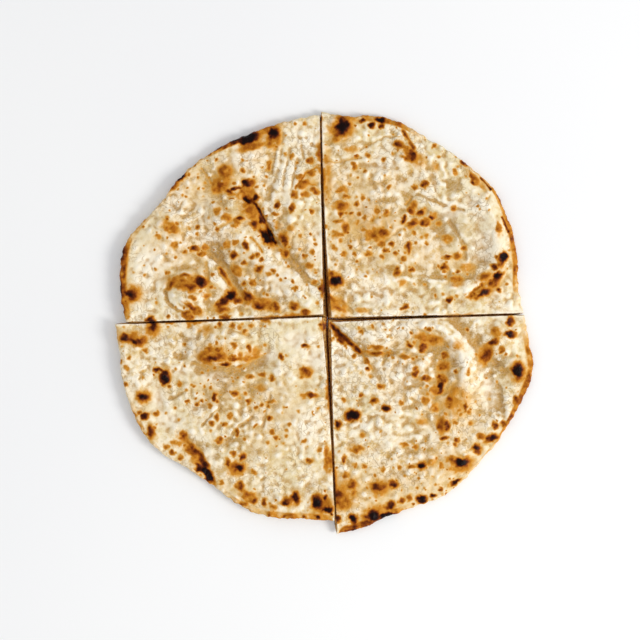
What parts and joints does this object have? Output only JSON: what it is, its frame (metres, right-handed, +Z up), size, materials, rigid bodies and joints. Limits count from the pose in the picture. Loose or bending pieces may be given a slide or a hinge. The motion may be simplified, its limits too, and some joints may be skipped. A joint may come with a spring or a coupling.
{
  "type": "naan bread",
  "caption": "Thin round leavened flatbread, blistered and scorched in spots, cut crosswise into wedges that lie together on flat undersides.",
  "frame": {"origin": "middle of the bread's length and width, on the surface that it rests on", "axes": "+Z up out of the crust, +X to the right and +Y to the back of the bread as it lies, with the cuts running close to the X and Y axes"},
  "size_m": [0.2002, 0.2024, 0.008],
  "materials": {
    "crust": "cream baked dough with golden to black scorched spots, satin with a trace of oil"
  },
  "bodies": {
    "root": {"quarter_back_right": "crust", "quarter_back_left": "crust", "quarter_front_left": "crust", "quarter_front_right": "crust"}
  },
  "joints": []
}
